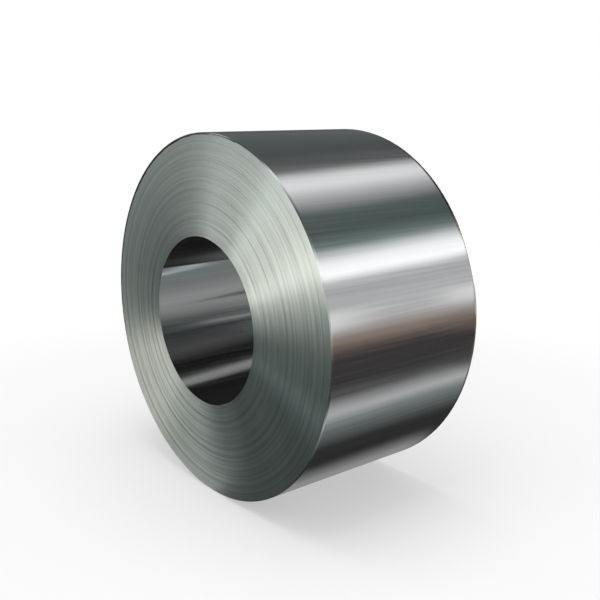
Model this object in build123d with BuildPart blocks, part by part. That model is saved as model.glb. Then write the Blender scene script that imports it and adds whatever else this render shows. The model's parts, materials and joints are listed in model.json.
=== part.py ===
# A coil of bright cold-rolled steel strip lying on its side, with its bore along Y.
# The origin is on the bore's axis, midway between the two ends. The near end faces -Y.
# The turns are laid tight on each other, so the winding is one solid, with the strip's two cut
# ends as real steps and its slit edges as the stepped rings on the two ends of the coil.

import os
from math import acos, degrees
from build123d import *

# Coil, in millimetres
bore_diameter = 610
outer_diameter = 1330
strip_width = 680
strip_gauge = 2.5

# Side shift of the turns: the inner turns stand out of the near end by the telescope, and
# each run of turns has wandered to one side or the other by up to the weave
telescope = 28
weave = 1.6

# Rings of turns that show on the ends, from the bore outwards: where each ring stops, as a
# share of the wound wall, and which way it wandered, as a share of the weave
ring_edge_shares = (0.05, 0.09, 0.13, 0.16, 0.21, 0.27, 0.33, 0.39, 0.43, 0.52, 0.61, 0.70, 0.76, 0.84, 0.92)
ring_weave_shares = (0.4, -0.5, 0.3, -0.9, 0.6, -0.2, 0.9, -0.6, 0.2, -0.8, 0.5, -0.1, 0.8, -0.4, 0.6, 0)

# The strip's two ends, in degrees anticlockwise from +X as seen from the near end
head_angle = 150
tail_angle = 240

# How far a cutting shape runs past what it cuts
overrun = 20

bore_radius = bore_diameter / 2
outer_radius = outer_diameter / 2
wall = outer_radius - bore_radius
half_turn = 180
full_turn = 360

# Where the second turn leaves the mandrel to climb over the strip's head
climb_radius = bore_radius + strip_gauge
climb_angle = degrees(acos(bore_radius / climb_radius))
climb_start = Vector(bore_radius, 0).rotate(Axis.Z, -climb_angle)

# Section of the winding: X is the radius and Y runs along the coil's axis
ring_shares = list(zip((0, *ring_edge_shares), (*ring_edge_shares, 1)))
ring_radii = [
    bore_radius - overrun,
    *(bore_radius + share * wall for share in ring_edge_shares),
    outer_radius + overrun,
]
near_end = []
far_end = []
for index, (inner_share, outer_share) in enumerate(ring_shares):
    mid_share = (inner_share + outer_share) / 2
    shift = telescope * (0.5 - mid_share) + weave * ring_weave_shares[index]
    for radius in ring_radii[index:index + 2]:
        near_end.append((radius, -strip_width / 2 - shift))
        far_end.append((radius, strip_width / 2 - shift))

with BuildPart() as coil:
    # The last turn laps the one below it by one gauge, and runs down to it over half a turn
    with BuildSketch(Plane.XZ.rotated((0, -tail_angle, 0))):
        with BuildLine():
            CenterArc((0, 0), outer_radius - strip_gauge, 0, half_turn)
            CenterArc((strip_gauge / 2, 0), outer_radius - strip_gauge / 2, half_turn, half_turn)
            Line((outer_radius, 0), (outer_radius - strip_gauge, 0))
        make_face()
    extrude(amount=strip_width / 2 + telescope + weave + overrun, both=True)

    # The mandrel's bore, with the narrow gap beside the strip's head
    with BuildSketch(Plane.XZ.rotated((0, -head_angle, 0))):
        with BuildLine():
            CenterArc((0, 0), bore_radius, 0, full_turn - climb_angle)
            Polyline(climb_start, (climb_radius, 0), (bore_radius, 0))
        make_face()
    extrude(amount=strip_width + telescope + weave + overrun, both=True, mode=Mode.SUBTRACT)

    # The rings of slit edges on both ends
    with BuildSketch(Plane.XY):
        with BuildLine():
            Polyline(*near_end, *reversed(far_end), close=True)
        make_face()
    revolve(axis=Axis.Y, mode=Mode.INTERSECT)

coil.part.label = "steel_coil"

os.makedirs("parts", exist_ok=True)
export_step(coil.part, "parts/steel_coil.step")
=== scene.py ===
# %% [markdown]
# # A coil of bright steel strip
# The coil is one long strip of cold-rolled steel, wound on a mandrel that was then pulled out. It lies on
# its side, so one end and the outer skin show. This lesson loads the measured solid, winds a finer
# surface over it turn by turn, gives the strip's face and its slit edges their finishes, paints shade as a
# dark finish on the edges of the last turns, and sets up a small studio of pale and dark panels, because
# polished metal shows its surroundings more than itself.

# %% Load the measured solid
import json
import math
import bpy
import numpy as np
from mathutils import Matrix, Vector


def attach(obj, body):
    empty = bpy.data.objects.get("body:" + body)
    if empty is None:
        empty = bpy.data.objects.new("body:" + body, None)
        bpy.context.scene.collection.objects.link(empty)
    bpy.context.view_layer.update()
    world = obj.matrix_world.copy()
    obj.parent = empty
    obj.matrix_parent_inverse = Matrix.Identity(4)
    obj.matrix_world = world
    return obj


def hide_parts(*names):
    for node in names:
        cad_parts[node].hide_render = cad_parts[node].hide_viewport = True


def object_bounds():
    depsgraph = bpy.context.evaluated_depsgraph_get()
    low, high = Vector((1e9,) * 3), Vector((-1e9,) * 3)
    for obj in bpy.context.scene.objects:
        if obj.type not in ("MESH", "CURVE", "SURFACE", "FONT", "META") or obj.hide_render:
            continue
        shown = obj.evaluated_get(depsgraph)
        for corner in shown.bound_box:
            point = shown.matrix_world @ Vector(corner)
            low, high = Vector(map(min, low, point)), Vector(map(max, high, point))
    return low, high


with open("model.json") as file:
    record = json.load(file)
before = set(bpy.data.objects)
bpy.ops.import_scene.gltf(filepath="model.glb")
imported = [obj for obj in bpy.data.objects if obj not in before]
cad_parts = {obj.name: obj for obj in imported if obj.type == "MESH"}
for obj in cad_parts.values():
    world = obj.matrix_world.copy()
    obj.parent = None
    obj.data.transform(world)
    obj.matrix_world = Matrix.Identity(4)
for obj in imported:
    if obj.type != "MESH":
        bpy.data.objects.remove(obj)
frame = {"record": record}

cad_low, cad_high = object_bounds()
print("solid spans", [round(high - low, 4) for low, high in zip(cad_low, cad_high)], "m")

# %% [markdown]
# ## Sizes
# Lengths are in metres. The bore and the strip's width come from the record's bore mount. The rest
# repeats the solid's driving sizes: the outer diameter, the gauge, where the strip's two ends lie, and
# how far the inner turns have slid out of the near end, which is called telescoping. The surface is drawn
# a fifth of a millimetre inside the solid and telescopes two millimetres less, so that it never leaves
# the solid's box.

# %% Sizes of the coil and of its strip
mm = 0.001
bore_mount = next(mount for mount in frame["record"]["mounts"] if mount["name"] == "bore")
bore_radius = bore_mount["dims"]["r_mm"] * mm
strip_width = bore_mount["dims"]["length_mm"] * mm
inside_solid = 0.2 * mm
outer_radius = 665 * mm - inside_solid
strip_gauge = 2.5 * mm
telescope = 26 * mm
head_angle = math.radians(150)
tail_angle = math.radians(240)
layers = round((outer_radius - bore_radius) / strip_gauge)
print("bore", bore_radius, "width", strip_width, "layers at the tail", layers)

# %% [markdown]
# ## Camera
# The view was worked out from the ellipses of the end and of the bore: the camera stands to the right of
# the near end, about 1.4 metres above the floor, and looks down by about thirteen degrees with a normal
# lens.

# %% Camera at the photograph's viewing angle
camera_place = (2.481, -1.949, 0.747)
camera_turn = math.radians(50.50)
camera_pitch = math.radians(12.86)
camera_lens = 50.8
camera_sensor = 36

camera_data = bpy.data.cameras.new("camera")
camera_data.lens = camera_lens
camera_data.sensor_width = camera_sensor
camera = bpy.data.objects.new("camera", camera_data)
camera.location = camera_place
camera.rotation_euler = (math.pi / 2 - camera_pitch, 0, camera_turn)
bpy.context.collection.objects.link(camera)
bpy.context.scene.camera = camera
print("camera", round(math.dist(camera_place, (0, 0, 0)), 3), "m from the coil's centre")

# %% [markdown]
# ## The winding's two outlines
# Seen along the bore, the coil isn't quite round. Outside, the last turn lies on the one below and stops
# at a step one gauge high. Inside, the second turn has to climb over the start of the first, which leaves
# a narrow gap beside the strip's head. A circle would lose both ends of the strip, so each outline is a
# radius as a function of angle.

# %% Outlines of the skin and of the bore
def skin_outline(angle):
    """Radius of the skin. For half a turn past the tail it is the outer radius less one gauge. For the other
    half it is a circle shifted by half a gauge, which reaches the full radius at the tail."""
    before_tail = np.mod(tail_angle - angle, math.tau)
    shift = strip_gauge / 2
    sideways = shift * np.sin(before_tail)
    shifted = shift * np.cos(before_tail) + np.sqrt((outer_radius - shift) ** 2 - sideways ** 2)
    return np.where(before_tail <= math.pi, shifted, outer_radius - strip_gauge)


def bore_outline(turn_share):
    """Radius of the bore, by the share of a turn past the strip's head. It is the mandrel's radius, and over
    the last stretch the straight line that touches the mandrel and ends one gauge out, over the head."""
    climb = math.acos(bore_radius / (bore_radius + strip_gauge))
    into_climb = np.maximum(turn_share * math.tau - (math.tau - climb), 0)
    return bore_radius / np.cos(into_climb)


beside_tail = np.array((tail_angle, tail_angle + math.radians(0.1)))
print("skin radius just before and after the tail", skin_outline(beside_tail))

# %% [markdown]
# ## The path of the strip
# Every turn is a share of the wall between the two outlines, so the layers stay tight. Under the lap of
# the last turn there is one layer more than elsewhere.

# %% Radius along the strip
steps_per_turn = 104
rounding = 1e-9

turns = layers - 1 + ((tail_angle - head_angle) / math.tau) % 1
last_step = round(turns * steps_per_turn)
wound = np.arange(last_step + 1) / steps_per_turn
angle = head_angle + wound * math.tau
layer = np.floor(wound)
turn_share = wound - layer

under_lap = turn_share <= turns % 1 + rounding
layers_here = np.where(under_lap, layers, layers - 1)
inner_outline = bore_outline(turn_share)
wall = skin_outline(angle) - inner_outline
inner_radius = inner_outline + wall * layer / layers_here
outer_face_radius = inner_outline + wall * (layer + 1) / layers_here
strip_length = float(np.sum(inner_radius)) * math.tau / steps_per_turn
print("strip length", round(strip_length), "m in", round(turns, 2), "turns")

# %% [markdown]
# Along the axis the strip wanders: slowly over the whole coil (the telescope), in runs of turns that were
# wound a little to one side (the rings that show on the end), and finely from turn to turn. Rings could
# be drawn as a pattern, but then they wouldn't catch the light. All three are functions of how many turns
# have been wound, so they run on smoothly along the strip as they do on a real one.

# %% Sideways shift along the strip
ring_edge_shares = np.array(
    (0.05, 0.09, 0.13, 0.16, 0.21, 0.27, 0.33, 0.39, 0.43, 0.52, 0.61, 0.70, 0.76, 0.84, 0.92)
)
ring_side_shares = np.array(
    (0.4, -0.5, 0.3, -0.9, 0.6, -0.2, 0.9, -0.6, 0.2, -0.8, 0.5, -0.1, 0.8, -0.4, 0.6, 0)
)
change_share = 0.006
weave = 1.2 * mm
fine_waves = ((0.16 * mm, 2.58, 0), (0.12 * mm, 7.98, 1), (0.1 * mm, 17.8, 2))

wound_share = wound / turns
knots = np.column_stack((ring_edge_shares - change_share, ring_edge_shares + change_share)).ravel()
sides = np.column_stack((ring_side_shares[:-1], ring_side_shares[1:])).ravel()
ring_shift = weave * np.interp(wound_share, knots, sides)
fine_shift = sum(size * np.sin(rate * wound + start) for size, rate, start in fine_waves)
shift = telescope * (0.5 - wound_share) + ring_shift + fine_shift
shift = np.clip(shift, strip_width / 2 - cad_high.y, -cad_low.y - strip_width / 2)
print("turns shift from", round(float(shift.max()), 4), "to", round(float(shift.min()), 4), "m")

# %% [markdown]
# ## The outer rim
# The outer rim isn't a sharp corner. Rolled strip is a little thinner along its edges, which adds up over
# the turns, so the skin droops there, over a wider band at the far end. Handling also rubs back the edges
# of the last six turns, mostly on one side. A straight bevel would flash all at once, so both follow the
# square of a distance, which starts without a kink. They are only millimetres deep, but the droop draws a
# thin dark line along the far rim.

# %% Wear and droop of the rim
rubbed_width = 6 * strip_gauge
rubbed_depth = 1.5 * mm
least_rubbed_share = 0.15
rubbed_side = math.radians(145)
near_droop = 6.5 * mm
far_droop = 16 * mm
droop_depth = 2.8 * mm
droop_reach = 25 * mm


def wear(at_angle):
    """Share of the wear round the rim, which also sets where the painted shade on the edges goes: the
    squared cosine of the angle from the worn side, and none past a quarter turn from it."""
    return np.clip(np.cos(at_angle - rubbed_side), 0, 1) ** 2


def rubbed(below_skin, at_angle):
    """How far an edge is rubbed back: a parabola, from nothing at the rubbed width below the skin to the
    full depth at the skin. The depth follows the wear, from a small share of itself upwards."""
    depth = rubbed_depth * (least_rubbed_share + (1 - least_rubbed_share) * wear(at_angle))
    return depth * np.clip(1 - below_skin / rubbed_width, 0, 1) ** 2


def droop(below_skin, towards_edge):
    """How far a layer has come down towards the axis: the full depth at the strip's edge, where towards_edge
    is 1, and with its square elsewhere. It fades out in a straight line for layers below the skin."""
    towards_skin = np.clip(1 - below_skin / droop_reach, 0, 1)
    return droop_depth * np.clip(towards_edge, 0, 1) ** 2 * towards_skin


print("rim comes down by", droop_depth, "m and is rubbed back by up to", rubbed_depth, "m")

# %% [markdown]
# ## The coil's surface
# Each turn shows only its slit edge: a flat a little narrower than the gauge, with a groove on either
# side where two turns meet. So the strip's path is carried along by three points at each end of the coil:
# the groove, the inner corner and the outer corner. The groove of the next turn closes the edge, one
# whole turn further along the same array, which is how one long spiral band becomes a closed end. The
# innermost grooves are the rim of the bore, and the outermost ones are the rim of the skin. Modelling all
# the hidden faces between the turns would only cost triangles.

# %% Points of the slit edges
corner = 0.3 * mm
groove = 0.4 * mm
rim = 0.4 * mm
shallowest_share = 0.2


def along_strip(radius, at_angle, along_axis):
    """Points at the given radius, angle and place along the axis, as rows of x, y, z."""
    return np.column_stack((radius * np.cos(at_angle), along_axis, radius * np.sin(at_angle)))


groove_step = np.arange(last_step + steps_per_turn + 1)
groove_angle = head_angle + groove_step / steps_per_turn * math.tau
groove_radius = np.concatenate((inner_radius, outer_face_radius[-steps_per_turn:]))
groove_below = np.concatenate((skin_outline(angle) - inner_radius, np.zeros(steps_per_turn)))
outer_neighbour = np.minimum(groove_step, last_step)
inner_neighbour = np.maximum(groove_step - steps_per_turn, 0)
outer_neighbour = np.where(groove_step <= last_step, outer_neighbour, inner_neighbour)
inner_neighbour = np.where(groove_step >= steps_per_turn, inner_neighbour, outer_neighbour)
at_rim = (groove_step < steps_per_turn) | (groove_step > last_step)
groove_share = np.clip(groove_below / rubbed_width, shallowest_share, 1)
groove_depth = np.where(at_rim, rim, groove * groove_share) + rubbed(groove_below, groove_angle)

least_shift = np.minimum(shift[inner_neighbour], shift[outer_neighbour])
most_shift = np.maximum(shift[inner_neighbour], shift[outer_neighbour])
near_grooves = -strip_width / 2 - least_shift + groove_depth
far_grooves = strip_width / 2 - most_shift - groove_depth
blocks = []
for side, groove_place in ((-1, near_grooves), (1, far_grooves)):
    edge_place = side * strip_width / 2 - shift
    blocks.append(along_strip(groove_radius - droop(groove_below, 1), groove_angle, groove_place))
    for corner_radius in (inner_radius + corner, outer_face_radius - corner):
        below = skin_outline(angle) - corner_radius
        corner_place = edge_place - side * rubbed(below, angle)
        blocks.append(along_strip(corner_radius - droop(below, 1), angle, corner_place))
print("points on the ends", sum(len(block) for block in blocks))

# %% [markdown]
# The skin and the bore are rows of points from rim to rim. The rows lie close together at the rims, where
# the skin droops, and far apart between them, where it is straight.

# %% Points of the skin and of the bore
rim_row_shares = np.array((0.14, 0.28, 0.46, 0.7, 1.0, 1.3))[:, None]
middle_rows = 7
middle_shares = np.linspace(0, 1, middle_rows + 2)[1:-1, None]

for rim_steps in (slice(0, steps_per_turn + 1), slice(last_step, last_step + steps_per_turn + 1)):
    near_line = near_grooves[rim_steps]
    far_line = far_grooves[rim_steps]
    near_rows = near_line + near_droop * rim_row_shares
    middle = near_line + (far_line - near_line) * middle_shares
    far_rows = far_line - far_droop * rim_row_shares[::-1]
    place = np.concatenate((near_rows, middle, far_rows))
    towards_edge = np.maximum(1 - (place - near_line) / near_droop, 1 - (far_line - place) / far_droop)
    radius = groove_radius[rim_steps] - droop(groove_below[rim_steps], towards_edge)
    round_angle = np.broadcast_to(groove_angle[rim_steps], place.shape)
    blocks.append(along_strip(radius.ravel(), round_angle.ravel(), place.ravel()))

rows_between = len(place)
starts = np.cumsum([0] + [len(block) for block in blocks])
points = np.concatenate(blocks)
print("points in all", len(points))

# %% [markdown]
# A quad needs four point numbers, and on a grid they follow from the row and the column. One small
# function makes a band of quads between two rows of numbers, and a flag turns the band over, because the
# near end faces one way and the far end the other. Faces that point inwards would look black or vanish in
# other programs.

# %% Faces of the ends, the skin, the bore and the strip's two cut ends
def band(first, second, flip=False):
    """Quads between two rows of point numbers of equal length, wound one way or the other."""
    quads = np.column_stack((first[:-1], second[:-1], second[1:], first[1:]))
    return quads[:, ::-1] if flip else quads


steps = np.arange(last_step + 1)
near_groove, near_inner, near_outer, far_groove, far_inner, far_outer, bore_rows, skin_rows = starts[:-1]
end_faces = []
for first, inner, outer, flip in (
    (near_groove, near_inner, near_outer, False),
    (far_groove, far_inner, far_outer, True),
):
    end_faces.append(band(first + steps, inner + steps, flip))
    end_faces.append(band(inner + steps, outer + steps, flip))
    end_faces.append(band(outer + steps, first + steps + steps_per_turn, flip))

once_round = np.arange(steps_per_turn + 1)
skin_faces = []
cut_faces = []
for rows_start, first_step, flip in ((bore_rows, 0, True), (skin_rows, last_step, False)):
    rows = [near_groove + first_step + once_round]
    rows += [rows_start + row * (steps_per_turn + 1) + once_round for row in range(rows_between)]
    rows += [far_groove + first_step + once_round]
    skin_faces += [band(lower, upper, flip) for lower, upper in zip(rows[:-1], rows[1:])]
    low_line = np.array([row[0] for row in rows])
    high_line = np.array([row[-1] for row in rows])
    cut_faces.append(band(low_line, high_line, flip))

for step, flip in ((0, True), (last_step, False)):
    for first, inner, outer, over in (
        (near_groove, near_inner, near_outer, flip),
        (far_groove, far_inner, far_outer, not flip),
    ):
        loop = np.array([[first + step, inner + step, outer + step, first + step + steps_per_turn]])
        cut_faces.append(loop[:, ::-1] if over else loop)

end_quads = np.concatenate(end_faces)
cut_quads = np.concatenate(cut_faces)
skin_quads = np.concatenate(skin_faces)
quads = np.concatenate((skin_quads, end_quads, cut_quads))
print("quads", len(quads), "which is", 2 * len(quads), "triangles")

# %% [markdown]
# The numbers go to the mesh as whole arrays, which is far quicker than adding faces one by one. Each face
# gets the number of its finish too. An edge gets the dark finish of painted shade where it lies within the
# rubbed width of the skin, and that width narrows round the rim as the wear does. Faces that meet at a steep
# angle keep a sharp edge between them, and all the others are shaded smooth.

# %% The mesh
sharp_angle = math.radians(30)
# The third finish is painted shade on the edges of the last turns.
on_skin, on_edges, on_rim_shade = range(3)

# Steps whose edges get painted shade: a dark finish on the last turns of the worn side.
rim_shaded = skin_outline(angle) - outer_face_radius < rubbed_width * wear(angle) - strip_gauge / 2
end_finish = np.tile(np.where(rim_shaded[:-1], on_rim_shade, on_edges), len(end_faces))
skin_finish = np.full(len(skin_quads), on_skin)
cut_finish = np.full(len(cut_quads), on_edges)
finish = np.concatenate((skin_finish, end_finish, cut_finish))

mesh = bpy.data.meshes.new("wound_strip")
mesh.vertices.add(len(points))
mesh.vertices.foreach_set("co", points.ravel())
mesh.loops.add(quads.size)
mesh.loops.foreach_set("vertex_index", quads.ravel().astype(np.int32))
mesh.polygons.add(len(quads))
mesh.polygons.foreach_set("loop_start", np.arange(0, quads.size, quads.shape[1], dtype=np.int32))
mesh.polygons.foreach_set("material_index", finish.astype(np.int32))
mesh.update()
mesh.validate()
mesh.shade_smooth()
mesh.set_sharp_from_angle(angle=sharp_angle)
wound_strip = bpy.data.objects.new("wound_strip", mesh)
bpy.context.collection.objects.link(wound_strip)
print("mesh has", len(mesh.polygons), "faces,", int(rim_shaded.sum()), "steps of the strip carry painted shade")

# %% [markdown]
# ## Finishes
# All three finishes are bare steel, so all are fully metallic. Two differ by how the metal was made, and
# the third is painted shade, a dark finish on the edges of the last turns. Colours are written as sRGB hex
# values, as a colour picker shows them, and one function turns them to the linear values that the shader
# counts in. One function adds a node. The values of a noise node lie mostly between the two numbers named
# here.

# %% Colours and nodes
noise_low, noise_high = 0.3, 0.7


def linear(hex_colour):
    """An sRGB hex colour as linear red, green, blue and alpha, by the sRGB curve."""
    channels = np.array([int(hex_colour[i:i + 2], 16) for i in (1, 3, 5)]) / 255
    curve = np.where(channels <= 0.04045, channels / 12.92, ((channels + 0.055) / 1.055) ** 2.4)
    return (*curve.tolist(), 1.0)


def add(tree, kind, inputs=None, **settings):
    """Adds one node. inputs gives each socket its value, or the output that feeds it."""
    made = tree.nodes.new(kind)
    for name, value in settings.items():
        setattr(made, name, value)
    for key, value in (inputs or {}).items():
        if isinstance(value, bpy.types.NodeSocket):
            tree.links.new(value, made.inputs[key])
        else:
            made.inputs[key].default_value = value
    return made


def new_material(name):
    """An empty node material: the material itself, and its tree."""
    material = bpy.data.materials.new(name)
    material.use_nodes = True
    material.node_tree.nodes.clear()
    return material, material.node_tree


print("white is", linear("#FFFFFF"), "and mid grey is", round(linear("#808080")[0], 3))

# %% [markdown]
# ### Bright cold-rolled strip
# Polished rolls press the strip smooth, so the skin mirrors the room in long bands along the axis. The
# rolls leave lines along the strip that are too fine to draw, and these blur reflections across them: the
# shader's anisotropy does that, with its tangent along the axis. Two noises, both stretched along the
# axis, do the rest. A narrow one stands for the chatter of the rolls, faint streaks across the strip
# about a centimetre wide that differ in tone and polish. A broad one is a shallow bump, because strip is
# never perfectly flat.

# %% Finish of the skin and of the bore
streak_width = 9 * mm
streak_length = 600 * mm
wave_width = 150 * mm
wave_length = 420 * mm
wave_height = 0.8 * mm
smoothest, roughest = 0.09, 0.18
line_blur = 0.5

strip_steel, tree = new_material("bright cold-rolled strip")
place = add(tree, "ShaderNodeTexCoord")
streak_scale = (1 / streak_width, 1 / streak_length, 1 / streak_width)
stretched = add(tree, "ShaderNodeMapping", {"Vector": place.outputs["Object"], "Scale": streak_scale})
streaks = add(tree, "ShaderNodeTexNoise", {"Vector": stretched.outputs[0], "Scale": 1.0, "Detail": 3.0})
tint = add(
    tree, "ShaderNodeMix",
    {0: streaks.outputs[0], 6: linear("#CCCED0"), 7: linear("#E2E3E3")},
    data_type="RGBA",
)
rough = add(
    tree, "ShaderNodeMapRange",
    {
        "Value": streaks.outputs[0], "From Min": noise_low, "From Max": noise_high,
        "To Min": smoothest, "To Max": roughest,
    },
)
wave_scale = (1 / wave_width, 1 / wave_length, 1 / wave_width)
drawn = add(tree, "ShaderNodeMapping", {"Vector": place.outputs["Object"], "Scale": wave_scale})
waves = add(tree, "ShaderNodeTexNoise", {"Vector": drawn.outputs[0], "Scale": 1.0, "Detail": 1.5})
wavy = add(tree, "ShaderNodeBump", {"Height": waves.outputs[0], "Strength": 1.0, "Distance": wave_height})
along_axis = add(tree, "ShaderNodeCombineXYZ", {"Y": 1.0})
steel = add(
    tree, "ShaderNodeBsdfPrincipled",
    {
        "Base Color": tint.outputs[2],
        "Metallic": 1.0,
        "Roughness": rough.outputs[0],
        "Anisotropic": line_blur,
        "Tangent": along_axis.outputs[0],
        "Normal": wavy.outputs[0],
    },
)
add(tree, "ShaderNodeOutputMaterial", {"Surface": steel.outputs[0]})
print(strip_steel.name, "has", len(tree.nodes), "nodes")

# %% [markdown]
# ### Slit edges
# The ends are the edges of every turn, cut by round knives. Each edge is a fine line round the axis, so
# light spreads across the lines, in and out from the axis, and the end shows bright and dark wedges like
# a brushed disc. The tangent is therefore the direction away from the axis. Runs of turns differ a little
# in tone, which a noise on the radius alone gives, bent slightly so that the rings are not
# machine-perfect.

# %% Finish of the ends
ring_spacing = 14 * mm
bend = 3 * mm
bends_per_metre = 2.2
smoothest, roughest = 0.34, 0.44
line_blur = 0.92

edge_steel, tree = new_material("slit edges of the strip")
place = add(tree, "ShaderNodeTexCoord")
away = add(tree, "ShaderNodeVectorMath", {0: place.outputs["Object"], 1: (1, 0, 1)}, operation="MULTIPLY")
outwards = add(tree, "ShaderNodeVectorMath", {0: away.outputs[0]}, operation="NORMALIZE")
radius = add(tree, "ShaderNodeVectorMath", {0: away.outputs[0]}, operation="LENGTH")
wobble = add(
    tree, "ShaderNodeTexNoise",
    {"Vector": place.outputs["Object"], "Scale": bends_per_metre, "Detail": 1.0},
)
bent = add(
    tree, "ShaderNodeMath",
    {0: wobble.outputs[0], 1: bend, 2: radius.outputs["Value"]},
    operation="MULTIPLY_ADD",
)
rings = add(
    tree, "ShaderNodeTexNoise",
    {"W": bent.outputs[0], "Scale": 1 / ring_spacing, "Detail": 4.0, "Roughness": 0.65},
    noise_dimensions="1D",
)
tone = add(
    tree, "ShaderNodeMapRange",
    {"Value": rings.outputs[0], "From Min": noise_low, "From Max": noise_high},
)
tint = add(
    tree, "ShaderNodeMix",
    {0: tone.outputs[0], 6: linear("#AAB7B4"), 7: linear("#C9D5D1")},
    data_type="RGBA",
)
rough = add(
    tree, "ShaderNodeMapRange",
    {
        "Value": rings.outputs[0], "From Min": noise_low, "From Max": noise_high,
        "To Min": smoothest, "To Max": roughest,
    },
)
steel = add(
    tree, "ShaderNodeBsdfPrincipled",
    {
        "Base Color": tint.outputs[2],
        "Metallic": 1.0,
        "Roughness": rough.outputs[0],
        "Anisotropic": line_blur,
        "Tangent": outwards.outputs[0],
    },
)
add(tree, "ShaderNodeOutputMaterial", {"Surface": steel.outputs[0]})
print(edge_steel.name, "has", len(tree.nodes), "nodes")

# %% [markdown]
# ### Painted shade on the last turns
# On one side the edges of the last turns get a dark, patchy finish. It is painted shade, so that the end's
# outline shows as a thin dark line. A noise a few centimetres across gives the patches.

# %% Painted shade on the edges of the last turns
patch_size = 40 * mm
smoothest, roughest = 0.3, 0.45

# A dark, patchy finish that paints shade on the edges of the last turns.
rim_shade_steel, tree = new_material("painted shade on the last turns")
place = add(tree, "ShaderNodeTexCoord")
patches = add(
    tree, "ShaderNodeTexNoise",
    {"Vector": place.outputs["Object"], "Scale": 1 / patch_size, "Detail": 3.0},
)
tint = add(
    tree, "ShaderNodeMix",
    {0: patches.outputs[0], 6: linear("#2E3030"), 7: linear("#4C4F4F")},
    data_type="RGBA",
)
rough = add(
    tree, "ShaderNodeMapRange",
    {
        "Value": patches.outputs[0], "From Min": noise_low, "From Max": noise_high,
        "To Min": smoothest, "To Max": roughest,
    },
)
steel = add(
    tree, "ShaderNodeBsdfPrincipled",
    {"Base Color": tint.outputs[2], "Metallic": 1.0, "Roughness": rough.outputs[0]},
)
add(tree, "ShaderNodeOutputMaterial", {"Surface": steel.outputs[0]})
print(rim_shade_steel.name, "has", len(tree.nodes), "nodes")

# %% [markdown]
# ### Dress the coil
# The finishes go to the mesh in the order of the numbers that its faces were given. The coil is one rigid
# piece, so all of it rides on the body root and stands in for the plain solid.

# %% Dress the coil
for material in (strip_steel, edge_steel, rim_shade_steel):
    mesh.materials.append(material)
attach(wound_strip, "root")
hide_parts("steel_coil")
print(wound_strip.name, "wears", [material.name for material in mesh.materials])

# %% [markdown]
# ## Studio
# Polished metal has hardly any look of its own, so the studio is half of the finish. It is a pale floor,
# one soft lamp overhead, and a tent of panels that only reflections can see.
#
# ### Floor
# The floor is a plain pale sheet. A grey sheet would end in a horizon, so with distance from the coil the
# matt paint gives way to a plain white glow, which is exactly the white of the background. Near the coil
# it keeps the shadow.

# %% Floor
floor_level = cad_low.z
floor_size = 30
fade_start = 1.1
fade_end = 2.8
least_glow_share = 0.4

corners = np.array([(-1, -1), (1, -1), (1, 1), (-1, 1)]) * floor_size / 2
floor_mesh = bpy.data.meshes.new("floor")
floor_mesh.from_pydata([(x, y, floor_level) for x, y in corners], [], [(0, 1, 2, 3)])
floor = bpy.data.objects.new("floor", floor_mesh)
bpy.context.collection.objects.link(floor)

pale_floor, tree = new_material("pale studio floor")
place = add(tree, "ShaderNodeTexCoord")
flat = add(tree, "ShaderNodeVectorMath", {0: place.outputs["Object"], 1: (1, 1, 0)}, operation="MULTIPLY")
distance = add(tree, "ShaderNodeVectorMath", {0: flat.outputs[0]}, operation="LENGTH")
fade = add(
    tree, "ShaderNodeMapRange",
    {
        "Value": distance.outputs["Value"], "From Min": fade_start, "From Max": fade_end,
        "To Min": least_glow_share,
    },
    interpolation_type="SMOOTHSTEP",
)
matt = add(tree, "ShaderNodeBsdfDiffuse", {"Color": linear("#F6F6F6")})
white = add(tree, "ShaderNodeEmission", {"Strength": 1.0})
blend = add(tree, "ShaderNodeMixShader", {0: fade.outputs[0], 1: matt.outputs[0], 2: white.outputs[0]})
add(tree, "ShaderNodeOutputMaterial", {"Surface": blend.outputs[0]})
floor_mesh.materials.append(pale_floor)
print("floor at", round(floor_level, 4), "m")

# %% [markdown]
# ### Panels
# Photographers light polished metal with large white and black cards, and choose them by what the metal
# shows. Each sheet of cards here is a grid of points with a glow on every point. It is hidden from the
# camera, casts no shadow and lights nothing by itself: only reflections see it.
#
# The bore needs a word. Its wall would mirror the opposite wall, which mirrors it back, until only a grey
# blur is left. So the coil is kept out of its own reflections, and the cards have a second, darker glow
# for the bore. Rays from the bore start beyond the axis, so they are longer than rays from the skin to
# the same card. Each point's reach tells the two apart.

# %% Light of the panels
panel_light, tree = new_material("panel light")
glow_here = add(tree, "ShaderNodeAttribute", attribute_name="glow")
bore_glow_here = add(tree, "ShaderNodeAttribute", attribute_name="bore_glow")
reach_here = add(tree, "ShaderNodeAttribute", attribute_name="reach")
ray = add(tree, "ShaderNodeLightPath")
from_bore = add(
    tree, "ShaderNodeMath",
    {0: ray.outputs["Ray Length"], 1: reach_here.outputs["Fac"]},
    operation="GREATER_THAN",
)
seen_glow = add(
    tree, "ShaderNodeMix",
    {0: from_bore.outputs[0], 6: glow_here.outputs["Color"], 7: bore_glow_here.outputs["Color"]},
    data_type="RGBA",
)
shine = add(tree, "ShaderNodeEmission", {"Color": seen_glow.outputs[2], "Strength": 1.0})
add(tree, "ShaderNodeOutputMaterial", {"Surface": shine.outputs[0]})
panel_light.cycles.emission_sampling = "NONE"
wound_strip.visible_glossy = False
print(panel_light.name, "has", len(tree.nodes), "nodes")

# %% [markdown]
# A sheet is a grid of points in space and a grid of colours. The colours start as rows, by straight lines
# between a few stops, and single cards are then laid over them. A card's share is 1 inside it and falls
# to 0 over its soft border, and the card is a ramp one way times a ramp the other way.

# %% Sheets of panels that only reflections see
neutral = "#FFFFFF"
warm = "#FFF7F4"
cream = "#FFEEE4"
brown = "#FFE2D2"
cool = "#F4FFFF"
teal = "#E2FFFA"
endless = 50.0
in_and_out = (0, 1, 1, 0)
rising = (0, 1)
falling = (1, 0)


def tinted(brightness, tint):
    """A brightness with a tint, as linear red, green and blue."""
    return brightness * np.array(linear(tint)[:3])


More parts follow.
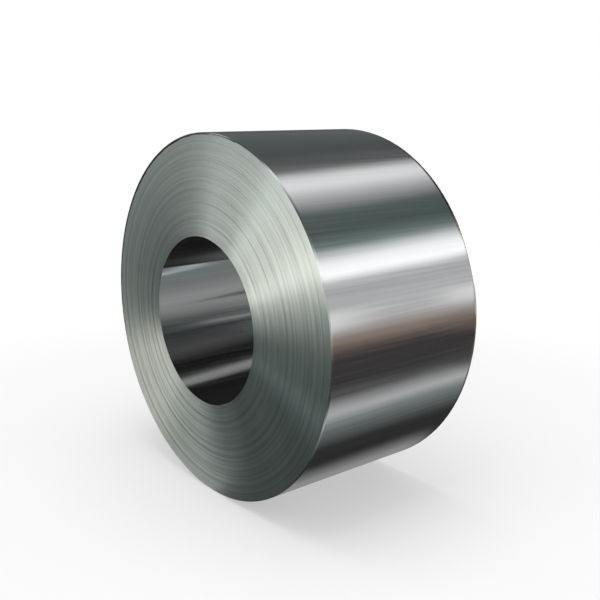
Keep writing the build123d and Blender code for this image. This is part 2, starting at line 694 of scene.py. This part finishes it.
def panel_row(at, stops):
    """Colour along a row of panels: straight lines between stops, each a place, a brightness and a tint."""
    places = [stop[0] for stop in stops]
    colours = np.array([tinted(brightness, tint) for _, brightness, tint in stops])
    return np.stack([np.interp(at, places, colours[:, channel]) for channel in range(3)], -1)


def lighten(glow, share, brightness):
    """The glow, moved towards a plain brightness by a share on each point."""
    return glow + share[..., None] * (brightness - glow)


def panel_sheet(name, points, glow, bore_glow=None, reach=None):
    """A sheet of panels: a grid of points joined by quads, with two glows and a reach on each point."""
    number = np.arange(points[..., 0].size).reshape(points.shape[:2])
    faces = np.stack((number[:-1, :-1], number[1:, :-1], number[1:, 1:], number[:-1, 1:]), -1).reshape(-1, 4)
    sheet_mesh = bpy.data.meshes.new(name)
    sheet_mesh.from_pydata(points.reshape(-1, 3).tolist(), [], faces.tolist())
    bore_glow = glow if bore_glow is None else bore_glow
    reach = np.full(points.shape[:2], endless) if reach is None else reach
    for key, colour in (("glow", glow), ("bore_glow", bore_glow)):
        colours = np.concatenate((colour, np.ones(colour.shape[:2] + (1,))), -1)
        sheet_mesh.attributes.new(key, "FLOAT_COLOR", "POINT").data.foreach_set("color", colours.ravel())
    sheet_mesh.attributes.new("reach", "FLOAT", "POINT").data.foreach_set("value", reach.ravel())
    sheet_mesh.materials.append(panel_light)
    sheet = bpy.data.objects.new(name, sheet_mesh)
    bpy.context.collection.objects.link(sheet)
    sheet.visible_camera = False
    sheet.visible_diffuse = False
    sheet.visible_shadow = False
    sheet.visible_transmission = False
    sheet.visible_volume_scatter = False
    print(name, "has", len(faces), "faces, brightest", round(float(glow.max()), 2))


# %% [markdown]
# ### The tent
# A round tent stands over the coil, four coil radii from its axis. Its panels are rows along the axis,
# and a band of the skin mirrors each row. Every stop below gives an angle from straight up towards +X, a
# brightness and a tint. Places along the axis count in coil radii. The rows lean a little, because the
# bands in the skin aren't quite parallel to the axis.

# %% Rows of the tent
tent_stops = (
    (-76, 0.09, cool), (-56, 0.14, cool), (-24, 0.10, cool), (-8, 0.15, neutral), (0, 0.95, neutral),
    (6, 1.0, neutral), (13, 0.62, neutral), (19, 0.36, neutral), (25, 0.15, teal), (37, 0.12, teal),
    (45, 0.24, teal), (54, 1.25, neutral), (61, 1.5, neutral), (66, 0.60, neutral), (71, 0.53, neutral),
    (78, 0.60, neutral), (85, 0.58, neutral), (91, 0.50, warm), (97, 0.29, brown), (104, 0.09, brown),
)
tent_radius = 4 * outer_radius
tent_edge = 105
tent_end = 6
points_per_radius = 8
lean = 3.3
lean_start = 2
lean_centre = 3

turned, along = np.meshgrid(
    np.linspace(-tent_edge, tent_edge, 2 * tent_edge + 1),
    np.linspace(-tent_end, tent_end, 2 * tent_end * points_per_radius + 1),
    indexing="ij",
)
round_tent = np.radians(turned)
apart = np.abs(along)
tent_points = np.stack(
    (tent_radius * np.sin(round_tent), along * outer_radius, tent_radius * np.cos(round_tent)), -1
)
leaning = lean * (np.maximum(apart, lean_start) - lean_centre) * np.cos(round_tent)
tent_glow = panel_row(turned + leaning, tent_stops)
print("tent is", turned.shape[0], "by", turned.shape[1], "points")

# %% [markdown]
# Five sets of cards lie over the rows. A bright pair low on the right gives the two lighter patches near
# the ends of the skin. The near end of the coil mirrors the front of the tent, where two bright cards on
# the left give it two wedges, one above the bore and one at the lower left. A pale card up on the left
# lights the top of the near rim, and it gives a pale band to the side of the skin that the photograph
# doesn't show. A dark card below it gives that side a dark band. Behind the far end the tent is dark, so
# that the drooping far rim shows as a thin dark line.

# %% Cards on the tent
pair_turned = (79, 83, 88, 93)
pair_middle = 3.0
pair_gap = (0.45, 0.85)
pair_glow = 0.95
front_turned = (-96, -91, -70, -50)
front_along = (-3.4, -2.7)
low_turned = (-104, -100, -96, -91)
low_along = (-4.0, -3.4)
front_glow = 2.2
side_turned = (-47, -42, -33, -28)
side_apart = (0.8, 1.2)
side_glow = 0.5
dark_side_turned = (-77, -73)
dark_side_apart = (1.6, 2.0)
dark_side_glow = 0.012
dark_end_turned = (42, 52)
dark_end_along = (4.3, 4.8)
dark_end_glow = 0.02

from_middle = np.abs(along - pair_middle)
card_pair = np.interp(turned, pair_turned, in_and_out) * np.interp(from_middle, pair_gap, rising)
tent_glow = lighten(tent_glow, card_pair * (along > 0), pair_glow)
front_left = np.interp(turned, front_turned, in_and_out) * np.interp(along, front_along, falling)
front_low = np.interp(turned, low_turned, in_and_out) * np.interp(along, low_along, falling)
tent_glow = lighten(tent_glow, np.maximum(front_left, front_low), tinted(front_glow, warm))
side_card = np.interp(turned, side_turned, in_and_out) * np.interp(apart, side_apart, falling)
tent_glow = lighten(tent_glow, side_card, side_glow)
dark_side = np.interp(turned, dark_side_turned, falling) * np.interp(apart, dark_side_apart, falling)
tent_glow = lighten(tent_glow, dark_side, dark_side_glow)
dark_end = np.interp(along, dark_end_along, rising) * np.interp(turned, dark_end_turned, falling)
tent_glow = lighten(tent_glow, dark_end, dark_end_glow)
print("darkest part of the tent", round(float(tent_glow.min()), 3))

# %% [markdown]
# The bore mirrors the same tent, with rows of its own that lean more, and one short bright streak. Seen
# from behind, the bore should look the same, so its rows are turned about for the other half of the tent.
# The reach is about the longest ray that comes from the skin. Past the part of the tent that the bore can
# see, it soon grows longer than any ray.

# %% The tent as the bore sees it
bore_tent_stops = (
    (-60, 0.015, neutral), (-24, 0.01, neutral), (-19, 0.30, neutral), (-10, 0.32, neutral),
    (-3, 0.03, neutral), (8, 0.005, neutral), (16, 0.008, neutral), (24, 0.03, neutral), (38, 0.08, neutral),
    (50, 0.06, cool), (63, 0.04, cool), (78, 0.08, cool), (87, 0.18, neutral), (96, 0.28, neutral),
    (105, 0.31, neutral),
)
bore_lean = 7
bore_lean_centre = 2.3
streak_turned = (67, 70, 72, 76)
streak_apart = (2.35, 2.6)
streak_glow = 0.3
bore_sees_behind = 3.9
bore_sees_in_front = 3.1
reach_across = 4.05
reach_slope = 0.33

bore_turned = turned * np.sign(along)
bore_leaning = bore_lean * (apart - bore_lean_centre) * np.cos(round_tent)
bore_tent_glow = panel_row(bore_turned - bore_leaning, bore_tent_stops)
bore_streak = np.interp(bore_turned, streak_turned, in_and_out) * np.interp(apart, streak_apart, rising)
bore_tent_glow = lighten(bore_tent_glow, bore_streak, streak_glow)
past_bore = np.maximum(apart - np.where(along > 0, bore_sees_behind, bore_sees_in_front), 0)
reach = (reach_across + reach_slope * apart + endless * past_bore) * outer_radius
panel_sheet("panel_tent", tent_points, tent_glow, bore_tent_glow, reach)

# %% [markdown]
# ### End walls
# A wall closes each end of the tent. The coil's end spreads light in and out from its axis, so the wall's
# bright part shows as two wedges on it, and the sharp lower edge of that part is what ends the wedges.
# Stops give the height above the axis in coil radii. The far wall is dimmed on the right, and the rest of
# it is dark above, because the drooping far rim mirrors those parts and should show as a thin dark line.

# %% Walls at the two ends of the tent
wall_stops = (
    (-1, 0.10, cool), (-0.35, 0.12, cool), (-0.05, 0.8, cream), (0.36, 4.2, cream), (1.1, 4.0, cream),
    (1.7, 2.6, cream), (2.5, 1.7, neutral), (4, 1.1, neutral),
)
wall_slope = 0.18
wall_edge = 4
wall_foot = -1
wall_top = 4
wall_columns = 41
wall_rows = 51
fade_across = (-2, 1.5)
fade_levels = (1.05, 0.75)
dimmed_across = (1.4, 1.9)
dimmed_glow = 0.5
dark_height = (1.5, 2.0)
dark_across = (1.6, 2.2)
dark_glow = 0.03

across, height = np.meshgrid(
    np.linspace(-wall_edge, wall_edge, wall_columns),
    np.linspace(wall_foot, wall_top, wall_rows),
    indexing="ij",
)
for name, side in (("near_wall", -1), ("far_wall", 1)):
    wall_place = np.full(across.shape, side * tent_end * outer_radius)
    wall_points = np.stack((across * outer_radius, wall_place, height * outer_radius), -1)
    wall_glow = panel_row(height + side * wall_slope * across, wall_stops)
    wall_glow = wall_glow * np.interp(-side * across, fade_across, fade_levels)[..., None]
    if side > 0:
        dimmed = np.interp(across, dimmed_across, rising)
        wall_glow = lighten(wall_glow, dimmed, dimmed_glow)
        dark_part = np.interp(height, dark_height, rising) * np.interp(across, dark_across, falling)
        wall_glow = lighten(wall_glow, dark_part, dark_glow)
    panel_sheet(name, wall_points, wall_glow)

# %% [markdown]
# ### Cards on the floor
# A floor that is all white would wash out the lower half of the skin. Dark cards lie on it, with a pale
# strip between them that gives the skin its lowest bright band. Stops give the distance from under the
# axis in coil radii. Further along the axis the strips end in a plain dark floor. Its front part is
# blue-green, which the near end mirrors on its right and left, and its back part is brownish, which the
# skin mirrors beside the far rim. A pale patch under the coil lights its lowest edge.

# %% Cards on the floor
card_stops = (
    (0.6, 0.02, neutral), (0.9, 0.03, neutral), (1.12, 0.17, cool), (1.28, 0.32, cool),
    (1.40, 0.58, neutral), (1.52, 0.40, neutral), (1.75, 0.09, neutral), (2.1, 0.042, warm),
    (3.3, 0.045, warm), (4, 0.07, brown),
)
card_lift = 5 * mm
card_edge = 4
card_columns = 321
front_strip_stop = 0.4
front_strip_fade = 0.8
back_strip_stop = 1.5
back_strip_fade = 0.5
outer_strip = 1.9
outer_strip_stop = 3.2
dark_floor_apart = (1.5, 2.5, 3.5)
dark_floor_levels = (0.065, 0.11, 0.14)
under_aside = (0.5, 0.72)
under_apart = (0.7, 0.9)
under_quarter = (-0.45, -0.25)
under_glow = 0.3

across, along = np.meshgrid(
    np.linspace(-card_edge, card_edge, card_columns),
    np.linspace(-tent_end, tent_end, 2 * tent_end * points_per_radius + 1),
    indexing="ij",
)
aside = np.abs(across)
apart = np.abs(along)
card_height = np.full(across.shape, floor_level + card_lift)
card_points = np.stack((across * outer_radius, along * outer_radius, card_height), -1)

back_stop = np.where(aside > outer_strip, outer_strip_stop, back_strip_stop)
strip_stop = np.where(along < 0, front_strip_stop, back_stop)
strip_fade = np.where(along < 0, front_strip_fade, back_strip_fade)
dark_tint = np.where(along[..., None] < 0, tinted(1, teal), tinted(1, brown))
dark_floor = np.interp(apart, dark_floor_apart, dark_floor_levels)[..., None] * dark_tint
beside = np.clip((strip_stop - apart) / strip_fade + 1, 0, 1)[..., None]
card_glow = dark_floor + beside * (panel_row(aside, card_stops) - dark_floor)
under = np.interp(aside, under_aside, falling) * np.interp(apart, under_apart, falling)
under = under * np.interp(along * np.sign(across), under_quarter, rising)
card_glow = lighten(card_glow, under, under_glow)
print("floor cards are", across.shape[0], "by", across.shape[1], "points")

# %% [markdown]
# For the bore, a thin bright line lies on the floor under the coil and crosses it at a slant. Stops give
# the distance from that line in coil radii.

# %% The floor as the bore sees it
bore_card_stops = (
    (-0.9, 0.010, neutral), (-0.58, 0.015, neutral), (-0.45, 0.028, neutral), (-0.28, 0.10, neutral),
    (-0.06, 0.15, cool), (-0.035, 0.65, cool), (0.035, 0.65, cool), (0.07, 0.22, cool), (0.5, 0.23, cool),
    (0.8, 0.23, neutral), (1.3, 0.28, neutral), (1.9, 0.33, neutral), (3.0, 0.33, neutral),
)
line_start = 0.27
line_slant = 0.42
bore_sees_behind = 2.4
bore_sees_in_front = 0.75
bore_sees_wider = 0.5
reach_under = 0.65

line_place = line_start - line_slant * apart
bore_card_glow = panel_row(across * np.sign(along) - line_place, bore_card_stops)
bore_limit = np.where(along > 0, bore_sees_behind, bore_sees_in_front + bore_sees_wider * aside)
past_bore = np.maximum(apart - bore_limit, 0)
card_reach = (aside + reach_under + endless * past_bore) * outer_radius
panel_sheet("floor_cards", card_points, card_glow, bore_card_glow, card_reach)

# %% [markdown]
# ### Background and lamp
# The background is white where a camera or a reflection sees it, and a little dimmer where it lights the
# floor. The lamp overhead gives the floor its soft shadow. It doesn't show in reflections, where the
# panels do its work.

# %% World and lamp
lighting_strength = 0.75
seen_strength = 1.0
lamp_size = 2.5
lamp_power = 60
lamp_place = (0.4, -0.4, 3.2)

world = bpy.data.worlds.new("white studio")
world.use_nodes = True
bpy.context.scene.world = world
tree = world.node_tree
tree.nodes.clear()
ray = add(tree, "ShaderNodeLightPath")
seen = ray.outputs["Is Camera Ray"]
for kind in ("Is Glossy Ray", "Is Transmission Ray"):
    seen = add(tree, "ShaderNodeMath", {0: seen, 1: ray.outputs[kind]}, operation="MAXIMUM").outputs[0]
strength = add(
    tree, "ShaderNodeMapRange",
    {"Value": seen, "To Min": lighting_strength, "To Max": seen_strength},
)
sky = add(tree, "ShaderNodeBackground", {"Color": (1, 1, 1, 1), "Strength": strength.outputs[0]})
add(tree, "ShaderNodeOutputWorld", {"Surface": sky.outputs[0]})

lamp_data = bpy.data.lights.new("overhead_lamp", "AREA")
lamp_data.shape = "RECTANGLE"
lamp_data.size = lamp_size
lamp_data.size_y = lamp_size
lamp_data.energy = lamp_power
lamp = bpy.data.objects.new("overhead_lamp", lamp_data)
lamp.location = lamp_place
lamp.visible_glossy = False
bpy.context.collection.objects.link(lamp)
print("lamp at", tuple(round(value, 2) for value in lamp.location))

# %% [markdown]
# ## Finish
# The standard view transform shows the colours as they were chosen.

# %% Finish
scene = bpy.context.scene
scene.view_settings.view_transform = "Standard"
bpy.context.view_layer.update()
